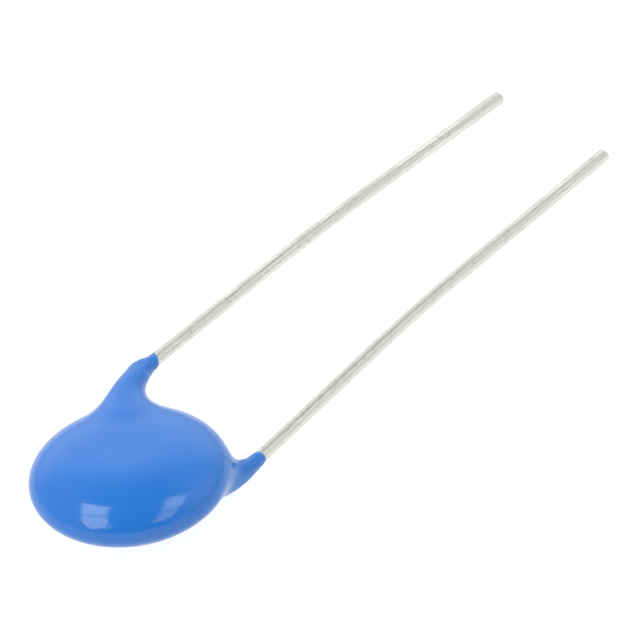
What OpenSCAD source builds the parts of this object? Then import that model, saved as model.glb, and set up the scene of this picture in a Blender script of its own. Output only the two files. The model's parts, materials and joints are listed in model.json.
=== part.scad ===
// Radial-lead metal-oxide varistor, 10 mm disc: a zinc-oxide disc with fired silver faces, a tinned
// wire soldered to each face, and one dipped epoxy coat that is drawn out along both wires.
// It lies on its rear face, with +Y along the leads and +Z out of its front face.

/* [Coat] */
// Epoxy outside the ceramic disc's edge
rim_skin = 1.1; // [0.8:0.05:2]
// Epoxy over the wire on each face
face_skin = 0.29; // [0.2:0.01:1]
// Diameter of the flat middle of each face
face_flat = 3.0; // [2:0.1:6]
// Coat along the front lead, past its kink
front_cover = 3.0; // [2:0.05:5]
// Coat along the rear lead, past its kink
rear_cover = 1.55; // [1.4:0.05:4]
// Thin film at each neck's end, along the wire
film_length = 0.75; // [0.3:0.05:1.2]
// Thickness of that film
film_skin = 0.09; // [0.07:0.01:0.2]
// Skin round the front wire at the neck's root
front_root_skin = 0.76; // [0.5:0.01:1.1]
// Skin round the front wire half way along the neck
front_neck_skin = 0.69; // [0.3:0.01:0.8]
// Skin round the rear wire at the neck's root
rear_root_skin = 0.57; // [0.3:0.01:0.8]
// Skin round the rear wire half way along the neck
rear_neck_skin = 0.42; // [0.2:0.01:0.6]
// Length over which the necks flow into the disc
neck_blend = 1.5; // [0.6:0.1:2.2]

/* [Ceramic disc] */
// Diameter of the ceramic disc
ceramic_diameter = 10.0; // [8:0.1:10.6]
// Thickness of the ceramic disc
ceramic_thickness = 2.0; // [1.2:0.1:2.2]
// Chamfer round the ceramic disc's two edges
ceramic_chamfer = 0.15; // [0.05:0.05:0.4]
// Bare margin between an electrode and the ceramic's edge
electrode_margin = 0.6; // [0.3:0.1:1.5]
// Thickness of a fired silver electrode
electrode_thickness = 0.03; // [0.02:0.01:0.08]

/* [Leads] */
// Diameter of the tinned wire
wire_diameter = 0.8; // [0.6:0.05:0.9]
// Distance between the leads, centre to centre
lead_pitch = 8.8; // [7.5:0.1:9.6]
// Distance of the leads' middle from the disc's, towards the rear lead
lead_shift = 0.1; // [-0.3:0.05:0.3]
// Length of each lead outside the coat, along its axis
lead_length = 33.75; // [25:0.1:45]
// Angle at which each wire crosses its electrode, away from the leads' direction
kink_angle = 43; // [35:1:50]
// Radius of the bend that turns each wire parallel to the other
kink_radius = 1.8; // [1.2:0.1:2.4]
// Length of wire past the disc's centre
wire_tail = 1.4; // [0.8:0.1:2.5]
// Gentle bow of the front lead
front_bow = 4.6; // [1:0.1:8]
// Lean of that bow outwards, from straight down
front_lean = 12; // [0:1:30]
// Gentle bow of the rear lead
rear_bow = 4.4; // [1:0.1:8]
// Straight wire from the coat to the start of the bow
bow_start = 11.0; // [6:0.5:14]
// Length of wire over which the bow runs
bow_length = 9.0; // [4:0.5:12]
// Slope of the sheared end, away from square
shear_angle = 18; // [0:1:30]

/* [Solder joints] */
// Diameter of the solder bead on each electrode
solder_diameter = 3.6; // [2:0.1:4.5]
// Height of the solder bead
solder_height = 0.7; // [0.4:0.05:0.85]
// Film of solder between the wire and the electrode
solder_film = 0.08; // [0.05:0.01:0.2]

/* [Hidden] */

front = 1;
rear = -1;
wire_r = wire_diameter / 2;
electrode_z = ceramic_thickness / 2;
solder_z = electrode_z + electrode_thickness;
wire_z = solder_z + solder_film + wire_r;             // the wire's axis off the middle plane
coat_r = ceramic_diameter / 2 + rim_skin;
half_thick = wire_z + wire_r + face_skin;
flat_r = face_flat / 2;
mid_z = half_thick;                                   // the ceramic's middle plane above the table
lead_x = lead_pitch / 2;
electrode_r = ceramic_diameter / 2 - electrode_margin;

// Wire on the electrode, from the disc's centre to the kink, and where the kink ends
cross_length = (lead_x - kink_radius * (1 - cos(kink_angle))) / sin(kink_angle);
kink_end_y = cross_length * cos(kink_angle) + kink_radius * sin(kink_angle);
rim_y = sqrt(max(pow(coat_r, 2) - pow(lead_x, 2), 0));
exit_y = max(kink_end_y, rim_y);                      // where the wires have left the disc and their kinks

pitch_radius = 4;                                     // of the small bend near the coat's end
pitch_back = 1.45;                                    // how far inside the coat that bend starts
radians = PI / 180;
shear_cut = 4 * wire_diameter;

function reach(side) = exit_y + (side == front ? front_cover : rear_cover);
function bow(side) = side == front ? front_bow : rear_bow;
function bow_heading(side) = 90 + (side == front ? front_lean : 0);
function bow_radius(side) = round(10 * bow_length / (bow(side) * radians)) / 10;
function last_run(side) = lead_length - bow_start - bow_length;
function pitch_start(side) = reach(side) - pitch_back;

// A lead from its pitch bend on, seen from the side: how far it runs on, and how far it drops
first_run = pitch_back + bow_start;
function run_on(side) = first_run + bow_radius(side) * sin(bow(side)) + last_run(side) * cos(bow(side));
function bow_drop(side) = sin(bow_heading(side))
    * (bow_radius(side) * (1 - cos(bow(side))) + last_run(side) * sin(bow(side)));

// Height that a lead loses from the electrode down to the table
function fall(side) = mid_z + side * wire_z - wire_r;

// Downward pitch that lays a lead's tip on the table, for a bend of signed radius r
function pitch_for(side, r) = let (rise = r - bow_drop(side), run = run_on(side))
    atan2(rise, run) - asin((r - fall(side)) / norm([rise, run]));
function pitch(side) = let (down = pitch_for(side, pitch_radius))
    round(10000 * (down >= 0 ? down : pitch_for(side, -pitch_radius))) / 10000;

// The whole part spans from the disc's rim to the longer lead's tip, and the origin is under its middle
function tip_y(side) = let (p = pitch(side), r = sign(p) * pitch_radius, rise = r - bow_drop(side),
                            run = run_on(side))
    pitch_start(side) + norm([rise, run]) * cos(atan2(rise, run) - p);
disc_y = (coat_r - max(tip_y(front), tip_y(rear))) / 2;

module place_disc() translate([0, disc_y, mid_z]) children();

// ---- Ceramic and electrodes

module ceramic_disc() color("dimgray") place_disc()
    rotate_extrude($fn = 96) polygon([
        [0, -electrode_z],
        [ceramic_diameter / 2 - ceramic_chamfer, -electrode_z],
        [ceramic_diameter / 2, -electrode_z + ceramic_chamfer],
        [ceramic_diameter / 2, electrode_z - ceramic_chamfer],
        [ceramic_diameter / 2 - ceramic_chamfer, electrode_z],
        [0, electrode_z]]);

module electrode(side) place_disc()
    translate([0, 0, side == front ? electrode_z : -solder_z])
        cylinder(r = electrode_r, h = electrode_thickness, $fn = 96);

module front_electrode() color("gainsboro") electrode(front);
module rear_electrode() color("gainsboro") electrode(rear);

// ---- Leads: each is one wire, bent as runs and bends that follow one another
// Inside a run or bend +Z is along the wire, 0 degrees of heading is right and 90 is down

module run(length) {
    cylinder(r = wire_r, h = length, $fn = 48);
    translate([0, 0, length]) children();
}

// A shift in two steps, a rounded one and the small rest, so that runs and bends meet exactly
module shift(v) {
    rounded = [for (x = v) round(1000 * x) / 1000];
    translate(rounded) translate(v - rounded) children();
}

module bend(radius, angle, heading) rotate([0, 0, heading]) {
    translate([radius, 0, 0]) rotate([90, 0, 180])
        rotate_extrude(angle = angle, $fn = 240) translate([radius, 0]) circle(r = wire_r, $fn = 48);
    shift([radius * (1 - cos(angle)), 0, radius * sin(angle)]) rotate([0, angle, 0])
        rotate([0, 0, -heading]) children();
}

module sheared_run(length) difference() {
    cylinder(r = wire_r, h = length, $fn = 48);
    translate([0, 0, length]) rotate([shear_angle, 0, 0])
        translate([-shear_cut / 2, -shear_cut / 2, 0]) cube(shear_cut);
}

module lead(side) place_disc() translate([lead_shift, 0, side * wire_z])
    rotate([0, 0, side * kink_angle]) rotate([-90, 0, 0]) translate([0, 0, -wire_tail])
        run(wire_tail + cross_length)
        bend(kink_radius, kink_angle, side == front ? 0 : 180)
        run(pitch_start(side) - kink_end_y)
        bend(pitch_radius, abs(pitch(side)), pitch(side) > 0 ? 90 : 270)
        run(first_run)
        bend(bow_radius(side), bow(side), bow_heading(side))
        sheared_run(last_run(side));

module front_lead() color("silver") lead(front);
module rear_lead() color("silver") lead(rear);

// ---- Solder: a bead over each wire's inner end, shaped round the wire

bead_r = (pow(solder_diameter / 2, 2) + pow(solder_height, 2)) / (2 * solder_height);

module solder_bead(side) place_disc() mirror([0, 0, side == front ? 0 : 1])
    translate([0, 0, solder_z]) intersection() {
        translate([0, 0, solder_height - bead_r]) sphere(r = bead_r, $fn = 96);
        cylinder(d = solder_diameter + 1, h = 2 * solder_height, $fn = 96);
    }

module solder_joint(side) difference() {
    solder_bead(side);
    lead(side);
}

module front_solder_joint() color("lightgray") solder_joint(front);
module rear_solder_joint() color("lightgray") solder_joint(rear);

// ---- Epoxy coat: the surface where a blended distance field is zero
// The field is the disc's rounded form, joined smoothly to a tapered neck round each wire

function soft_min(a, b, k) = let (h = max(k - abs(a - b), 0) / k) min(a, b) - h * h * k / 4;

// Distance to the disc, whose rim is half an ellipse round the flat middle
function disc_field(p) = let (rim = coat_r - flat_r, q = max(norm([p.x, p.y]) - flat_r, 0) / rim,
                              w = p.z / half_thick, k = norm([q, w]))
    (k - 1) * k / max(norm([q / rim, w / half_thick]), 0.001);

// A neck is a chain of stations, each with its place, its radius and how much broader than deep it is.
// Its axis curves from the electrode to the wire's axis, and a thin film then follows the wire.
neck_steps = 8;
neck_over = 0.25;                                     // of a neck past the coat's end, where it is cut square
neck_flat = 1.5;                                      // broader than deep at the root, and round at the end
root_sink = 0.35;                                     // of the root below the wire's axis
front_root = [0.68, 1.48];                            // its share of the wire's distance out, and its
rear_root = [0.85, 1.11];                             // distance inside the disc's rim
front_turn = 1.3;                                     // how far the curve's control point lies back from
rear_turn = 2.28;                                     // the rim's farthest point, along the leads

function curve(a, b, c, t) = pow(1 - t, 2) * a + 2 * t * (1 - t) * b + t * t * c;

// The wire's axis at the distance y along the leads, past its kink
function on_wire(side, y) = let (p = pitch(side),
                                 past = y - pitch_start(side) - pitch_radius * abs(p) * radians / 2)
    [lead_shift - side * lead_x, y, side * wire_z - max(past, 0) * tan(p)];

function neck(side, root, turn, root_skin, neck_skin) = let (
    out = lead_x * root[0],
    a = [lead_shift - side * out, sqrt(pow(coat_r - root[1], 2) - pow(out, 2)), side * (wire_z - root_sink)],
    b = on_wire(side, coat_r - turn),
    c = on_wire(side, reach(side) - film_length),
    end = [on_wire(side, reach(side) + neck_over), wire_r + film_skin, 1])
    [for (i = [0:neck_steps]) let (t = i / neck_steps)
        [curve(a, b, c, t), wire_r + curve(root_skin, neck_skin, film_skin, t), curve(neck_flat, 1, 1, t)],
     end];
front_neck = neck(front, front_root, front_turn, front_root_skin, front_neck_skin);
rear_neck = neck(rear, rear_root, rear_turn, rear_root_skin, rear_neck_skin);

// Distance to one link of a neck, between two stations
function link_field(p, a, b) = let (ab = b[0] - a[0], u = max(0, min(1, (p - a[0]) * ab / (ab * ab))),
                                    w = p - a[0] - u * ab, flat = a[2] + u * (b[2] - a[2]),
                                    n = max(norm([w.x, w.y, w.z * flat]), 0.001))
    (n - a[1] - u * (b[1] - a[1])) / max(norm([w.x, w.y, w.z * flat * flat]) / n, 1);
function neck_field(p, neck) = min([for (i = [1:len(neck) - 1]) link_field(p, neck[i - 1], neck[i])]);

// The coat lies flat on the table, so the field ends at the rear face's plane
function coat_field(p) = max(-half_thick - p.z, soft_min(
    soft_min(disc_field(p), neck_field(p, front_neck), neck_blend), neck_field(p, rear_neck), neck_blend));

// Grid lines, closer together over the necks, in steps that grow with the disc and with the wire
coarse = 0.036 * ceramic_diameter;
fine = 0.3 * wire_diameter;
grid_low = [-max(coat_r, lead_x + 1) - coarse, -coat_r - coarse, -half_thick - 0.7 * fine];
grid_top = [max(coat_r, lead_x + 1) + coarse, max(reach(front), reach(rear)) + 1, half_thick + 0.9];
neck_low = coat_r - 2.7;                              // where the necks start, along the leads
grid_x = [for (x = [grid_low.x:coarse * 0.8:grid_top.x + coarse]) x];
grid_y = [each [grid_low.y:coarse:neck_low], each [neck_low + fine:fine:grid_top.y + fine]];
grid_z = [for (z = [grid_low.z:fine:grid_top.z + fine]) z];
cells = [len(grid_x) - 1, len(grid_y) - 1, len(grid_z) - 1];
corners = [for (k = [0, 1]) for (j = [0, 1]) for (i = [0, 1]) [i, j, k]];
edges = [for (a = [0:7]) for (b = [a + 1:7]) if (norm(corners[a] - corners[b]) == 1) [a, b]];
function grid_point(c) = [grid_x[c.x], grid_y[c.y], grid_z[c.z]];
function total(list, i = 0) = i < len(list) ? list[i] + total(list, i + 1) : [0, 0, 0];

// One point in each cell that the surface crosses: the middle of its crossings of the cell's edges
function cell_point(level, c) = let (
    value = [for (o = corners) level[c.x + o.x][c.y + o.y][c.z + o.z]],
    hits = [for (e = edges) let (a = value[e[0]], b = value[e[1]]) if ((a < 0) != (b < 0))
        let (t = a / (a - b)) grid_point(c + corners[e[0]]) * (1 - t) + grid_point(c + corners[e[1]]) * t])
    len(hits) > 0 ? total(hits) / len(hits) : undef;

// A four-sided face round each grid edge that the surface crosses, along axis a
axis_step = [[1, 0, 0], [0, 1, 0], [0, 0, 1]];
function faces_along(level, points, a) = let (u = axis_step[(a + 1) % 3], v = axis_step[(a + 2) % 3],
                                              w = axis_step[a], low = u + v)
    [for (i = [low.x:cells.x - 1]) for (j = [low.y:cells.y - 1]) for (k = [low.z:cells.z - 1])
        let (c = [i, j, k], d = c + w, inside = level[i][j][k] < 0)
        if (inside != (level[d.x][d.y][d.z] < 0))
            let (ring = [for (o = [c - u - v, c - v, c, c - u]) points[o.x][o.y][o.z]])
            inside ? [for (n = [3:-1:0]) ring[n]] : ring];

module blended_skin() {
    level = [for (x = grid_x) [for (y = grid_y) [for (z = grid_z) coat_field([x, y, z])]]];
    points = [for (i = [0:cells.x - 1]) [for (j = [0:cells.y - 1]) [for (k = [0:cells.z - 1])
        cell_point(level, [i, j, k])]]];
    quads = [for (a = [0:2]) each faces_along(level, points, a)];
    polyhedron([for (q = quads) each q],
               [for (i = [0:len(quads) - 1]) let (a = 4 * i)
                   each [[a, a + 1, a + 2], [a, a + 2, a + 3]]]);
}

// What lies past the coat's end on a lead
module past_end(side) place_disc() translate(on_wire(side, reach(side))) rotate([-90 - pitch(side), 0, 0])
    cylinder(r = wire_r + 0.4, h = neck_over + 1, $fn = 48);

module epoxy_coat() color("royalblue") difference() {
    place_disc() blended_skin();
    ceramic_disc();
    for (side = [front, rear]) {
        electrode(side);
        solder_bead(side);
        lead(side);
        past_end(side);
    }
}

ceramic_disc();
front_electrode();
rear_electrode();
front_solder_joint();
rear_solder_joint();
front_lead();
rear_lead();
epoxy_coat();
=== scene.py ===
# A radial-lead varistor lying on a pale studio floor
import json
import math
import bmesh
import bpy
from mathutils import Matrix, Vector, noise
from mathutils.bvhtree import BVHTree

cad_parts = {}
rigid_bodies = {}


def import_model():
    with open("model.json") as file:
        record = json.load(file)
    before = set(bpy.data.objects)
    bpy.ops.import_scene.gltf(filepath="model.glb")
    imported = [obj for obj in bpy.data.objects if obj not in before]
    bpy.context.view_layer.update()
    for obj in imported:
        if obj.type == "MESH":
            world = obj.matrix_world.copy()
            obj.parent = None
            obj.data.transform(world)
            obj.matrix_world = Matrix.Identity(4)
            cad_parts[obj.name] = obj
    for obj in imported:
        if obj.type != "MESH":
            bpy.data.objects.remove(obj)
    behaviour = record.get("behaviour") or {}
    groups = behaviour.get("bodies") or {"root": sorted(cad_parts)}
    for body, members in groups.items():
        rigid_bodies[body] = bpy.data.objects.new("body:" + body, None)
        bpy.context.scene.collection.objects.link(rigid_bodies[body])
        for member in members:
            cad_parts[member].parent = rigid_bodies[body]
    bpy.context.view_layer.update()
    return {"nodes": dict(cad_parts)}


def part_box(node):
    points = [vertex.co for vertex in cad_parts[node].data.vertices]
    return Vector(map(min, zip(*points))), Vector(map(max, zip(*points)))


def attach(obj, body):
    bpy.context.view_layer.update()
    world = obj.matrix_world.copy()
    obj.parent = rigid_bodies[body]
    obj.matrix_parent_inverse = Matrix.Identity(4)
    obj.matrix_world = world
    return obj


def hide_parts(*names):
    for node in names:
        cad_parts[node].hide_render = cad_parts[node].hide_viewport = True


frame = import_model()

mm = 0.001
nodes = frame["nodes"]
ceramicLow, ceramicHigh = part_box("ceramic_disc")
discMiddle = (ceramicLow + ceramicHigh) / 2
print("frame loaded")


def linear(hexColour):  # sRGB hex to linear RGBA
    channels = [int(hexColour[i:i + 2], 16) / 255 for i in (1, 3, 5)]
    return [c / 12.92 if c <= 0.04045 else ((c + 0.055) / 1.055) ** 2.4 for c in channels] + [1.0]


def addNode(tree, kind, settings=None, values=None, links=None):
    # settings are the node's own, values go on its inputs, links are (input, from node, output)
    node = tree.nodes.new(kind)
    for name, value in (settings or {}).items():
        setattr(node, name, value)
    for name, value in (values or {}).items():
        node.inputs[name].default_value = value
    for name, source, output in links or []:
        tree.links.new(source.outputs[output], node.inputs[name])
    return node


def newMaterial(name):
    material = bpy.data.materials.new(name)
    material.use_nodes = True
    material.node_tree.nodes.clear()
    return material, material.node_tree


def deselectAll():
    if bpy.context.active_object and bpy.context.active_object.mode != "OBJECT":
        bpy.ops.object.mode_set(mode="OBJECT")
    bpy.ops.object.select_all(action="DESELECT")


def makeActive(piece):
    deselectAll()
    piece.select_set(True)
    bpy.context.view_layer.objects.active = piece


def copyNode(nodeName, pieceName):  # a copy of a CAD node, merged into one skin
    makeActive(nodes[nodeName])
    bpy.ops.object.duplicate()
    piece = bpy.context.active_object
    bpy.ops.object.parent_clear(type="CLEAR_KEEP_TRANSFORM")
    for key in list(piece.keys()):
        del piece[key]
    piece.name = piece.data.name = pieceName
    bpy.ops.object.mode_set(mode="EDIT")
    bpy.ops.mesh.select_mode(type="VERT")
    bpy.ops.mesh.select_all(action="SELECT")
    bpy.ops.mesh.remove_doubles(threshold=1e-7)
    bpy.ops.mesh.select_all(action="DESELECT")
    return piece


def selectFaces(piece, test):  # in edit mode, by place or normal
    mesh = bmesh.from_edit_mesh(piece.data)
    for face in mesh.faces:
        face.select_set(False)
    for face in mesh.faces:
        if test(face):
            face.select_set(True)
    bmesh.update_edit_mesh(piece.data)


def addModifier(piece, kind, **settings):
    makeActive(piece)
    modifier = piece.modifiers.new(kind.title(), kind)
    for name, value in settings.items():
        setattr(modifier, name, value)
    bpy.ops.object.modifier_apply(modifier=modifier.name)


def finishPiece(piece, nodeName, material):
    piece.data.materials.clear()
    piece.data.materials.append(material)
    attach(piece, "root")
    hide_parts(nodeName)


# Camera, with a very long lens

camera = {
    "aim": Vector((6.127, 11.913, 5.968)) * mm,        # from the middle of the disc
    "azimuth": math.radians(42.9), "elevation": math.radians(37.36), "roll": math.radians(8.56),
    "lens": 1640, "sensor": 36.0, "width": 38.15 * mm,  # of what it sees at its aim
    "nearest": 0.01, "furthest": 10.0,
}
azimuth, elevation = camera["azimuth"], camera["elevation"]
lookDirection = Vector((-math.sin(azimuth) * math.cos(elevation),
                        math.cos(azimuth) * math.cos(elevation), -math.sin(elevation)))
bpy.ops.object.camera_add()
cameraObject = bpy.context.active_object
cameraObject.name = "studioCamera"
cameraObject.data.lens = camera["lens"]
cameraObject.data.sensor_width = camera["sensor"]
cameraObject.data.clip_start = camera["nearest"]
cameraObject.data.clip_end = camera["furthest"]
reach = camera["width"] * camera["lens"] / camera["sensor"]
turn = lookDirection.to_track_quat("-Z", "Y").to_matrix().to_4x4()
turn = turn @ Matrix.Rotation(-camera["roll"], 4, "Z")
cameraObject.matrix_world = Matrix.Translation(discMiddle + camera["aim"] - lookDirection * reach) @ turn
bpy.context.scene.camera = cameraObject
print("camera placed")


# Sizes of the leads, which the coat's edges follow too: -1 is the front lead, at low x, and 1 the rear one

lead = {
    "radius": 0.4 * mm,
    "shift": 0.1 * mm, "spread": 4.4 * mm,      # the pair off the disc's middle, and each off the pair's
    "height": 1.51 * mm,                        # off the disc's middle plane
    "tail": 1.4 * mm,                           # on its electrode, before the disc's middle
    "kink": math.radians(43), "kinkRadius": 1.8 * mm,
    "coatRun": {-1: 1.55 * mm, 1: 0.10 * mm},   # from the kink to the pitch bend
    "pitch": {-1: math.radians(3.0573), 1: math.radians(-1.8057)},  # down, to bring its tip to the table
    "pitchRadius": 4 * mm,
    "firstRun": 12.45 * mm, "lastRun": {-1: 13.71 * mm, 1: 13.73 * mm},
    "bow": {-1: math.radians(4.6), 1: math.radians(4.4)},
    "bowRadius": {-1: 112.1 * mm, 1: 117.2 * mm},
    "lean": {-1: math.radians(12), 1: 0.0},     # of the bow, outwards from straight down
    "shear": {-1: math.radians(4), 1: math.radians(8)},  # of the cut end, longer below
    "rounding": 0.08 * mm, "roundingSteps": 4,
    "sides": 48, "kinkSteps": 16, "pitchSteps": 3, "bowSteps": 14,
    "sharp": math.radians(15), "smooth": math.radians(35),  # edges to round, and edges to shade smooth
}
wireRadius = lead["radius"]

# Epoxy coat: the CAD skin without its cavity, smoothed, with a thin ragged film at its end on each wire

coat = {
    "cavityReach": 0.025 * mm,      # faces this close to an inner piece are the cavity
    "neckFrom": 2 * mm,             # the necks' ends lie further out than this along x
    "neckReach": 1.5 * mm,          # how far behind the cut its faces are taken
    "merge": 0.02 * mm, "quads": math.radians(60),
    "smoothing": 12, "smoothFactor": 0.4, "subdivisions": 2,
    "shoulder": {                   # the front neck's swelling before its end
        "back": 1.1 * mm, "spoke": Vector((-0.747, 0, 0.665)), "spot": 0.35 * mm,
        "push": (-0.20 * mm, 0, 0), "reach": 1.4 * mm,
    },
    "filmLength": 0.80 * mm,        # how far before the neck's end the film starts
    "filmRings": (                  # mm along, mm off the wire, and how thinned out, from 0 to 1
        (0.24, 0.080, 0.1), (0.46, 0.050, 0.3), (0.62, 0.034, 0.8), (0.78, 0.022, 1.0), (0.82, -0.02, 1.0),
    ),
    "filmStep": 0.1 * mm, "filmGrowth": 3,      # rings over which shift, slant and notch come in
    "filmShift": {-1: 0.10 * mm, 1: -0.27 * mm},
    "filmSlant": {-1: Vector((-0.275, 0, 0.245)) * mm, 1: Vector((0.10, 0, 0.02)) * mm},  # longer this way
    "filmNotch": {-1: 0.22 * mm, 1: -0.04 * mm}, "notchSide": Vector((0.66, 0, 0.75)),    # set back here
    "ragged": 0.10 * mm, "raggedScale": 2400.0,  # teeth about 0.4 mm apart
    "rimReach": 0.2 * mm,           # the cut's open edge lies this close to the cut
}
innerTrees = {}
for name in ("ceramic_disc", "front_electrode", "rear_electrode", "front_solder_joint",
             "rear_solder_joint", "front_lead", "rear_lead"):
    innerMesh = nodes[name].data
    innerTrees[name] = BVHTree.FromPolygons([v.co for v in innerMesh.vertices],
                                            [p.vertices for p in innerMesh.polygons])
leadTrees = {-1: innerTrees["front_lead"], 1: innerTrees["rear_lead"]}
rayHeight = 10 * mm  # clear of the part, above and below


def wireAxis(side, y):  # the middle of a lead's cross-section at y
    x = lead["shift"] + side * lead["spread"]
    top = leadTrees[side].ray_cast(Vector((x, y, rayHeight)), Vector((0, 0, -1)))[0]
    bottom = leadTrees[side].ray_cast(Vector((x, y, -rayHeight)), Vector((0, 0, 1)))[0]
    return Vector((x, y, (top.z + bottom.z) / 2))


def inCavity(face):
    middle = face.calc_center_median()
    return any(tree.find_nearest(middle, coat["cavityReach"])[0] for tree in innerTrees.values())


def cutNeck(piece, side, cut):
    def onNeck(face):
        middle = face.calc_center_median()
        return middle.x * side > coat["neckFrom"] and middle.y > cut - coat["neckReach"]

    selectFaces(piece, onNeck)
    bpy.ops.mesh.bisect(plane_co=(0, cut, 0), plane_no=(0, 1, 0), clear_outer=True)


def pushShoulder(piece, neckEnd):
    shoulder = coat["shoulder"]
    swelling = wireAxis(-1, neckEnd - shoulder["back"]) + shoulder["spoke"] * 2 * wireRadius
    selectFaces(piece, lambda f: (f.calc_center_median() - swelling).length < shoulder["spot"])
    bpy.ops.transform.translate(value=shoulder["push"], use_proportional_edit=True,
                                use_proportional_connected=True, proportional_edit_falloff="SMOOTH",
                                proportional_size=shoulder["reach"])


def selectRim(piece, side, cut):  # the open edge that the cut left on one neck
    mesh = bmesh.from_edit_mesh(piece.data)
    for edge in mesh.edges:
        edge.select_set(False)
    for edge in mesh.edges:
        place = edge.verts[0].co
        if edge.is_boundary and place.x * side > coat["neckFrom"] and place.y > cut - coat["rimReach"]:
            edge.select_set(True)
    bmesh.update_edit_mesh(piece.data)


def drawFilm(piece, side, cut):  # ring after ring along the wire, to a slanting and ragged end
    for number, (along, off, thinness) in enumerate(coat["filmRings"]):
        bpy.ops.mesh.extrude_edges_move(TRANSFORM_OT_translate={"value": (0, coat["filmStep"], 0)})
        mesh = bmesh.from_edit_mesh(piece.data)
        thin = mesh.verts.layers.float["edgeThin"]
        growth = min(number / coat["filmGrowth"], 1)
        for vert in mesh.verts:
            if vert.select:
                ragged = noise.noise(vert.co * coat["raggedScale"]) * coat["ragged"] if number else 0.0
                y = cut + along * mm + ragged
                spoke = vert.co - wireAxis(side, y)
                spoke = Vector((spoke.x, 0, spoke.z)).normalized()
                notch = coat["filmNotch"][side] * max(0, spoke.dot(coat["notchSide"])) ** 2
                y += growth * (coat["filmShift"][side] + coat["filmSlant"][side].dot(spoke) - notch)
                vert.co = wireAxis(side, y) + spoke * (wireRadius + off * mm)
                vert[thin] = thinness
        bmesh.update_edit_mesh(piece.data)
    bpy.ops.mesh.edge_face_add()  # closed off inside the wire


def modelCoat():
    piece = copyNode("epoxy_coat", "epoxyCoat")
    selectFaces(piece, inCavity)
    bpy.ops.mesh.delete(type="FACE")
    mesh = bmesh.from_edit_mesh(piece.data)
    neckEnd = {side: max(v.co.y for v in mesh.verts if v.co.x * side > coat["neckFrom"]) for side in (-1, 1)}
    for side in (-1, 1):
        cutNeck(piece, side, neckEnd[side] - coat["filmLength"])
    bpy.ops.mesh.select_all(action="SELECT")
    bpy.ops.mesh.remove_doubles(threshold=coat["merge"])
    bpy.ops.mesh.select_all(action="SELECT")
    bpy.ops.mesh.tris_convert_to_quads(face_threshold=coat["quads"], shape_threshold=coat["quads"])
    bpy.ops.object.mode_set(mode="OBJECT")
    addModifier(piece, "LAPLACIANSMOOTH", iterations=coat["smoothing"], lambda_factor=coat["smoothFactor"],
                lambda_border=0.0, use_volume_preserve=True)
    piece.data.attributes.new("edgeThin", "FLOAT", "POINT")
    bpy.ops.object.mode_set(mode="EDIT")
    pushShoulder(piece, neckEnd[-1])
    for side in (-1, 1):
        cut = neckEnd[side] - coat["filmLength"]
        selectRim(piece, side, cut)
        drawFilm(piece, side, cut)
    bpy.ops.object.mode_set(mode="OBJECT")
    addModifier(piece, "SUBSURF", levels=coat["subdivisions"], render_levels=coat["subdivisions"])
    makeActive(piece)
    bpy.ops.object.shade_smooth()
    return piece


def epoxyMaterial():
    # dipped epoxy powder coat, fused smooth: a deep even gloss, and paler where it thins out on the wire
    material, tree = newMaterial("dippedBlueEpoxy")
    place = addNode(tree, "ShaderNodeTexCoord")
    mottle = addNode(tree, "ShaderNodeTexNoise", {}, {"Scale": 350.0, "Detail": 3.0},
                     [("Vector", place, "Object")])  # pigment cloud, about 3 mm
    grain = addNode(tree, "ShaderNodeTexNoise", {}, {"Scale": 9000.0, "Detail": 2.0},
                    [("Vector", place, "Object")])   # powder grain, about 0.1 mm
    cloud = addNode(tree, "ShaderNodeMix", {"data_type": "FLOAT"}, {0: 0.3},
                    [(2, mottle, "Fac"), (3, grain, "Fac")])
    tint = addNode(tree, "ShaderNodeMix", {"data_type": "RGBA"},
                   {6: linear("#2B7CE0"), 7: linear("#358DF0")}, [(0, cloud, 0)])
    thin = addNode(tree, "ShaderNodeAttribute", {"attribute_name": "edgeThin"})
    paleness = addNode(tree, "ShaderNodeMapRange", {"interpolation_type": "SMOOTHSTEP"},
                       {"From Min": 0.6, "From Max": 1.0, "To Min": 0.0, "To Max": 0.9},
                       [("Value", thin, "Fac")])
    colour = addNode(tree, "ShaderNodeMix", {"data_type": "RGBA"}, {7: linear("#BCDDF0")},
                     [(0, paleness, "Result"), (6, tint, 2)])
    peel = addNode(tree, "ShaderNodeTexNoise", {}, {"Scale": 900.0, "Detail": 2.0},
                   [("Vector", place, "Object")])    # orange peel, about 1 mm
    pits = addNode(tree, "ShaderNodeTexVoronoi", {}, {"Scale": 780.0}, [("Vector", place, "Object")])
    pit = addNode(tree, "ShaderNodeMapRange", {"interpolation_type": "SMOOTHSTEP"},
                  {"From Min": 0.02, "From Max": 0.08, "To Min": 0.0, "To Max": 1.0},
                  [("Value", pits, "Distance")])
    pitBump = addNode(tree, "ShaderNodeBump", {}, {"Strength": 0.7, "Distance": 0.035 * mm},
                      [("Height", pit, "Result")])   # pinholes where a bubble burst, 1 to 2 mm apart
    bump = addNode(tree, "ShaderNodeBump", {}, {"Strength": 0.05, "Distance": 0.02 * mm},
                   [("Height", peel, "Fac"), ("Normal", pitBump, "Normal")])
    dull = addNode(tree, "ShaderNodeMapRange", {}, {"To Min": 0.09, "To Max": 0.16},
                   [("Value", mottle, "Fac")])
    shader = addNode(tree, "ShaderNodeBsdfPrincipled", {}, {"IOR": 1.5, "Specular Tint": linear("#FFFFE0")},
                     [("Base Color", colour, 2), ("Roughness", dull, "Result"), ("Normal", bump, "Normal")])
    addNode(tree, "ShaderNodeOutputMaterial", {}, {}, [("Surface", shader, "BSDF")])
    return material


coatPiece = modelCoat()
finishPiece(coatPiece, "epoxy_coat", epoxyMaterial())
print("coat modelled", len(coatPiece.data.polygons), "faces")


# Leads: each one wire, drawn along its runs and bends from the end on its electrode

def wireRun(place, direction, length):  # the end face stays selected
    bpy.ops.mesh.extrude_region_move(TRANSFORM_OT_translate={"value": direction * length})
    return place + direction * length


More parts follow.
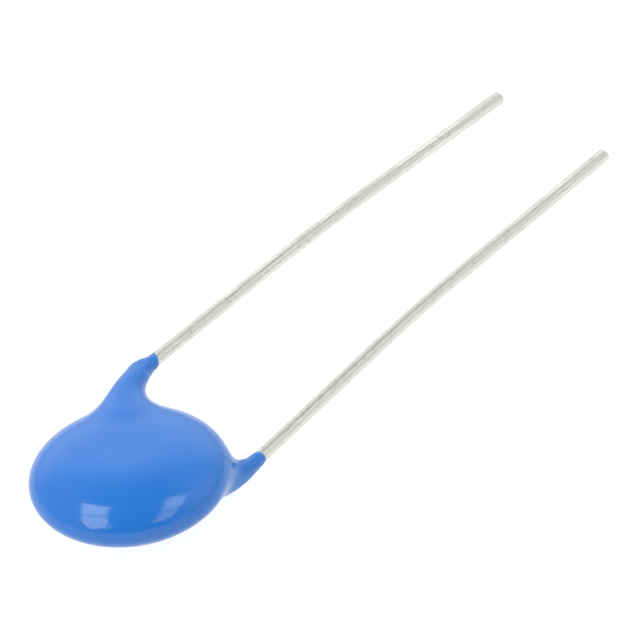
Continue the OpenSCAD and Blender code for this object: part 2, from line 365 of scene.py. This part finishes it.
def wireBend(place, direction, towards, radius, angle, steps):
    centre = place + towards * radius
    bpy.ops.mesh.spin(steps=steps, angle=angle, center=centre, axis=towards.cross(direction))
    newDirection = direction * math.cos(angle) + towards * math.sin(angle)
    newTowards = towards * math.cos(angle) - direction * math.sin(angle)
    return centre - newTowards * radius, newDirection


def cutEnd(place, normal):
    bpy.ops.mesh.select_all(action="SELECT")
    bpy.ops.mesh.bisect(plane_co=place, plane_no=normal, clear_outer=True, use_fill=True)
    bpy.ops.mesh.select_all(action="SELECT")
    bpy.ops.mesh.normals_make_consistent(inside=False)


def roundEnd(piece, place):
    nearEnd = 1.5 * wireRadius
    mesh = bmesh.from_edit_mesh(piece.data)
    bpy.ops.mesh.select_all(action="DESELECT")
    bpy.ops.mesh.select_mode(type="EDGE")
    for edge in mesh.edges:
        near = all((v.co - place).length < nearEnd for v in edge.verts)
        edge.select_set(near and len(edge.link_faces) == 2 and edge.calc_face_angle() > lead["sharp"])
    bmesh.update_edit_mesh(piece.data)
    bpy.ops.mesh.bevel(offset=lead["rounding"], segments=lead["roundingSteps"])


def modelWire(side, pieceName):
    kink, pitch, lean, shear = lead["kink"], lead["pitch"][side], lead["lean"][side], lead["shear"][side]
    heading = Vector((side * math.sin(kink), math.cos(kink), 0))
    place = discMiddle + Vector((lead["shift"], 0, -side * lead["height"])) - heading * lead["tail"]
    deselectAll()
    bpy.ops.mesh.primitive_circle_add(vertices=lead["sides"], radius=wireRadius, fill_type="NGON",
                                      location=place, rotation=heading.to_track_quat("Z", "Y").to_euler())
    piece = bpy.context.active_object
    piece.name = piece.data.name = pieceName
    bpy.ops.object.transform_apply(location=True, rotation=True, scale=True)
    bpy.ops.object.mode_set(mode="EDIT")
    bpy.ops.mesh.select_mode(type="FACE")
    bpy.ops.mesh.select_all(action="SELECT")
    cross = (lead["spread"] - lead["kinkRadius"] * (1 - math.cos(kink))) / math.sin(kink)
    place = wireRun(place, heading, lead["tail"] + cross)
    place, direction = wireBend(place, heading, Vector((-side * math.cos(kink), math.sin(kink), 0)),
                                lead["kinkRadius"], kink, lead["kinkSteps"])
    place = wireRun(place, direction, lead["coatRun"][side])
    place, direction = wireBend(place, direction, Vector((0, 0, -1 if pitch > 0 else 1)),
                                lead["pitchRadius"], abs(pitch), lead["pitchSteps"])
    place = wireRun(place, direction, lead["firstRun"])
    down = Vector((0, -math.sin(pitch), -math.cos(pitch)))
    outwards = Vector((side, 0, 0))
    place, direction = wireBend(place, direction, down * math.cos(lean) + outwards * math.sin(lean),
                                lead["bowRadius"][side], lead["bow"][side], lead["bowSteps"])
    place = wireRun(place, direction, lead["lastRun"][side] + wireRadius)
    place -= direction * wireRadius  # the cut takes the spare wire off
    up = (Vector((0, 0, 1)) - direction * direction.z).normalized()
    cutEnd(place, direction * math.cos(shear) + up * math.sin(shear))
    roundEnd(piece, place)
    bpy.ops.object.mode_set(mode="OBJECT")
    bpy.ops.object.shade_smooth_by_angle(angle=lead["smooth"])
    return piece


def tinMaterial():
    # tinned copper wire: bright metal, smooth here and frosted there, with drawing marks and smudges
    material, tree = newMaterial("tinnedCopperWire")
    place = addNode(tree, "ShaderNodeTexCoord")
    stretch = addNode(tree, "ShaderNodeMapping", {}, {"Scale": (9000.0, 160.0, 9000.0)},
                      [("Vector", place, "Object")])
    streaks = addNode(tree, "ShaderNodeTexNoise", {}, {"Scale": 1.0, "Detail": 4.0},
                      [("Vector", stretch, "Vector")])  # drawing marks, 0.1 mm wide and 6 mm long
    patches = addNode(tree, "ShaderNodeTexNoise", {}, {"Scale": 1400.0, "Detail": 3.0},
                      [("Vector", place, "Object")])    # tin flow, about 0.7 mm
    frost = addNode(tree, "ShaderNodeTexNoise", {}, {"Scale": 260.0, "Detail": 2.0},
                    [("Vector", place, "Object")])      # frosted stretches, about 4 mm
    drawn = addNode(tree, "ShaderNodeMapping", {}, {"Scale": (6000.0, 2200.0, 6000.0)},
                    [("Vector", place, "Object")])
    smudges = addNode(tree, "ShaderNodeTexNoise", {}, {"Scale": 1.0, "Detail": 3.0, "Roughness": 0.6},
                      [("Vector", drawn, "Vector")])    # flux specks, 0.17 mm wide and 0.45 mm long
    both = addNode(tree, "ShaderNodeMix", {"data_type": "FLOAT"}, {0: 0.4},
                   [(2, streaks, "Fac"), (3, patches, "Fac")])
    clean = addNode(tree, "ShaderNodeMix", {"data_type": "RGBA"},
                    {6: linear("#CBCCC4"), 7: linear("#EFEFE8")}, [(0, both, 0)])
    smudge = addNode(tree, "ShaderNodeMapRange", {"interpolation_type": "SMOOTHSTEP"},
                     {"From Min": 0.56, "From Max": 0.72, "To Min": 0.0, "To Max": 0.4},
                     [("Value", smudges, "Fac")])
    tone = addNode(tree, "ShaderNodeMix", {"data_type": "RGBA"}, {7: linear("#8F8D86")},
                   [(0, smudge, "Result"), (6, clean, 2)])
    frosted = addNode(tree, "ShaderNodeMapRange", {"interpolation_type": "SMOOTHSTEP"},
                      {"From Min": 0.34, "From Max": 0.58, "To Min": 0.17, "To Max": 0.42},
                      [("Value", frost, "Fac")])
    fine = addNode(tree, "ShaderNodeMapRange", {},
                   {"From Min": 0.3, "From Max": 0.7, "To Min": -0.05, "To Max": 0.05}, [("Value", both, 0)])
    dull = addNode(tree, "ShaderNodeMath", {"operation": "ADD"}, {},
                   [(0, frosted, "Result"), (1, fine, "Result")])
    marks = addNode(tree, "ShaderNodeBump", {}, {"Strength": 0.35, "Distance": 0.012 * mm},
                    [("Height", streaks, "Fac")])
    dents = addNode(tree, "ShaderNodeBump", {}, {"Strength": 0.35, "Distance": 0.03 * mm},
                    [("Height", patches, "Fac"), ("Normal", marks, "Normal")])
    pits = addNode(tree, "ShaderNodeBump", {}, {"Strength": 0.8, "Distance": 0.02 * mm},
                   [("Height", smudges, "Fac"), ("Normal", dents, "Normal")])
    shader = addNode(tree, "ShaderNodeBsdfPrincipled", {}, {"Metallic": 1.0},
                     [("Base Color", tone, 2), ("Roughness", dull, "Value"), ("Normal", pits, "Normal")])
    addNode(tree, "ShaderNodeOutputMaterial", {}, {}, [("Surface", shader, "BSDF")])
    return material


tin = tinMaterial()
for side, nodeName, pieceName in ((-1, "front_lead", "frontLeadWire"), (1, "rear_lead", "rearLeadWire")):
    finishPiece(modelWire(side, pieceName), nodeName, tin)
print("leads modelled")


# Ceramic, electrodes and solder, sealed inside the coat: only their materials are new

def grainyMaterial(name, darkTone, lightTone, scale, metallic, roughness, bumpHeight):
    fineness, spread = 9, 0.12  # the fine grain to the coarse one, and the roughness up and down
    material, tree = newMaterial(name)
    place = addNode(tree, "ShaderNodeTexCoord")
    coarse = addNode(tree, "ShaderNodeTexNoise", {}, {"Scale": scale, "Detail": 4.0},
                     [("Vector", place, "Object")])
    fine = addNode(tree, "ShaderNodeTexNoise", {}, {"Scale": scale * fineness, "Detail": 2.0},
                   [("Vector", place, "Object")])
    both = addNode(tree, "ShaderNodeMix", {"data_type": "FLOAT"}, {0: 0.4},
                   [(2, coarse, "Fac"), (3, fine, "Fac")])
    tone = addNode(tree, "ShaderNodeMix", {"data_type": "RGBA"},
                   {6: linear(darkTone), 7: linear(lightTone)}, [(0, both, 0)])
    dull = addNode(tree, "ShaderNodeMapRange", {},
                   {"To Min": roughness - spread, "To Max": roughness + spread}, [("Value", coarse, "Fac")])
    bump = addNode(tree, "ShaderNodeBump", {}, {"Strength": 0.4, "Distance": bumpHeight},
                   [("Height", fine, "Fac")])
    shader = addNode(tree, "ShaderNodeBsdfPrincipled", {}, {"Metallic": metallic},
                     [("Base Color", tone, 2), ("Roughness", dull, "Result"), ("Normal", bump, "Normal")])
    addNode(tree, "ShaderNodeOutputMaterial", {}, {}, [("Surface", shader, "BSDF")])
    return material


hidden = {
    # sintered zinc oxide: near-black grey with a matte crystalline grain
    "ceramic_disc": grainyMaterial("sinteredZincOxide", "#2E3032", "#45484A", 1500.0, 0.0, 0.7, 0.01 * mm),
    # fired silver paste: pale, matte and slightly porous
    "front_electrode": grainyMaterial("firedSilver", "#C9C7BF", "#E4E2DA", 2500.0, 1.0, 0.45, 0.004 * mm),
    # solder: brighter and smoother, with a frosty patch where it froze
    "front_solder_joint": grainyMaterial("tinSolder", "#B9BCBF", "#DCDEE0", 1200.0, 1.0, 0.25, 0.006 * mm),
}
hidden["rear_electrode"] = hidden["front_electrode"]
hidden["rear_solder_joint"] = hidden["front_solder_joint"]
for name, material in hidden.items():
    nodes[name].data.materials.clear()
    nodes[name].data.materials.append(material)
print("inner pieces coloured")


# Studio

studio = {
    "distance": 350 * mm, "floor": 4.0, "floorGlow": 0.9,
    # two windows of two panes and a bar: direction, long axis, then from and to along it, width and radiance
    "leftWindow": (Vector((-0.176, -0.635, 0.752)), Vector((0.365, -0.76, -0.56)),
                   ((-0.587, -0.205, 0.35, 4.0), (-0.205, -0.110, 0.38, 2.2), (-0.110, 0.587, 0.41, 3.6))),
    "rightWindow": (Vector((0.649, 0.008, 0.760)), Vector((0.453, -0.625, -0.378)),
                    ((-0.477, -0.105, 0.326, 2.7), (-0.075, 0.477, 0.326, 1.9))),
    # parts of the room, each over a stretch of height or of turning to face it, from one level to another
    "ceiling": (0.78, 1.0, 1.0, 0.16),                               # dark overhead
    "lowWall": (-0.1, 0.4, 0.0, 1.0),                                # the far wall fades towards the floor
    "underside": (-0.35, 0.0, 0.22, 0.0),                            # light thrown up by the table
    "nearSide": (-lookDirection, 0.55, 0.97, 1.0, 0.05),             # dark behind the camera
    "farWall": (Vector((-0.62, 0.78, 0.0)), 0.50, 0.86, 0.0, 0.68),  # a lit wall beyond
    "sideWall": (Vector((0.60, 0.62, 0.50)), 0.88, 0.99, 0.62, 1.0),
}
floorMaterial, floorTree = newMaterial("paleFloor")  # a light table
floorMatte = addNode(floorTree, "ShaderNodeBsdfDiffuse", {}, {"Color": linear("#8C8C8C")})
floorGlow = addNode(floorTree, "ShaderNodeEmission", {},
                    {"Color": (1, 1, 1, 1), "Strength": studio["floorGlow"]})
floorBoth = addNode(floorTree, "ShaderNodeAddShader", {}, {},
                    [(0, floorMatte, "BSDF"), (1, floorGlow, "Emission")])
addNode(floorTree, "ShaderNodeOutputMaterial", {}, {}, [("Surface", floorBoth, "Shader")])
deselectAll()
bpy.ops.mesh.primitive_plane_add(size=studio["floor"], location=(0, 0, 0))
floorPiece = bpy.context.active_object
floorPiece.name = "studioFloor"
floorPiece.data.materials.append(floorMaterial)
floorPiece.visible_diffuse = False  # its glow is seen and mirrored, but casts no light up under the part

for name in ("leftWindow", "rightWindow"):
    direction, length, panes = studio[name]
    direction = direction.normalized()
    longAxis = (length - direction * length.dot(direction)).normalized()
    wideAxis = longAxis.cross(direction)
    for number, (start, end, wide, radiance) in enumerate(panes):
        bpy.ops.object.light_add(type="AREA")
        light = bpy.context.active_object
        light.name = name + str(number)
        light.data.shape = "RECTANGLE"
        light.data.size = wide * studio["distance"]
        light.data.size_y = (end - start) * studio["distance"]
        light.data.energy = radiance * math.pi * light.data.size * light.data.size_y
        light.visible_camera = False
        middle = discMiddle + (direction + longAxis * (start + end) / 2) * studio["distance"]
        light.matrix_world = (Matrix.Translation(middle)
                              @ Matrix((wideAxis, longAxis, direction)).transposed().to_4x4())

world = bpy.data.worlds.new("studio")
bpy.context.scene.world = world
world.use_nodes = True
worldTree = world.node_tree
worldTree.nodes.clear()
skyPlace = addNode(worldTree, "ShaderNodeTexCoord")
height = addNode(worldTree, "ShaderNodeSeparateXYZ", {}, {}, [(0, skyPlace, "Generated")])


def roomRamp(source, output, fromLow, fromHigh, toLow, toHigh):
    return addNode(worldTree, "ShaderNodeMapRange", {"interpolation_type": "SMOOTHSTEP"},
                   {"From Min": fromLow, "From Max": fromHigh, "To Min": toLow, "To Max": toHigh},
                   [("Value", source, output)])


def byHeight(name):
    return roomRamp(height, "Z", *studio[name])


def byFacing(name):
    facing, *levels = studio[name]
    turned = addNode(worldTree, "ShaderNodeVectorMath", {"operation": "DOT_PRODUCT"}, {1: facing},
                     [(0, skyPlace, "Generated")])
    return roomRamp(turned, "Value", *levels)


def roomMath(operation, first, second):
    return addNode(worldTree, "ShaderNodeMath", {"operation": operation}, {}, [(0, *first), (1, *second)])


glow = roomMath("MULTIPLY", (byFacing("farWall"), "Result"), (byHeight("lowWall"), "Result"))
walls = roomMath("ADD", (glow, "Value"), (byFacing("sideWall"), "Result"))
room = roomMath("ADD", (walls, "Value"), (byHeight("underside"), "Result"))
shade = roomMath("MULTIPLY", (byHeight("ceiling"), "Result"), (byFacing("nearSide"), "Result"))
level = roomMath("MULTIPLY", (room, "Value"), (shade, "Value"))
background = addNode(worldTree, "ShaderNodeBackground", {}, {"Color": (1, 1, 1, 1)},
                     [("Strength", level, "Value")])
addNode(worldTree, "ShaderNodeOutputWorld", {}, {}, [("Surface", background, "Background")])
bpy.context.scene.view_settings.view_transform = "Standard"
print("studio lit")
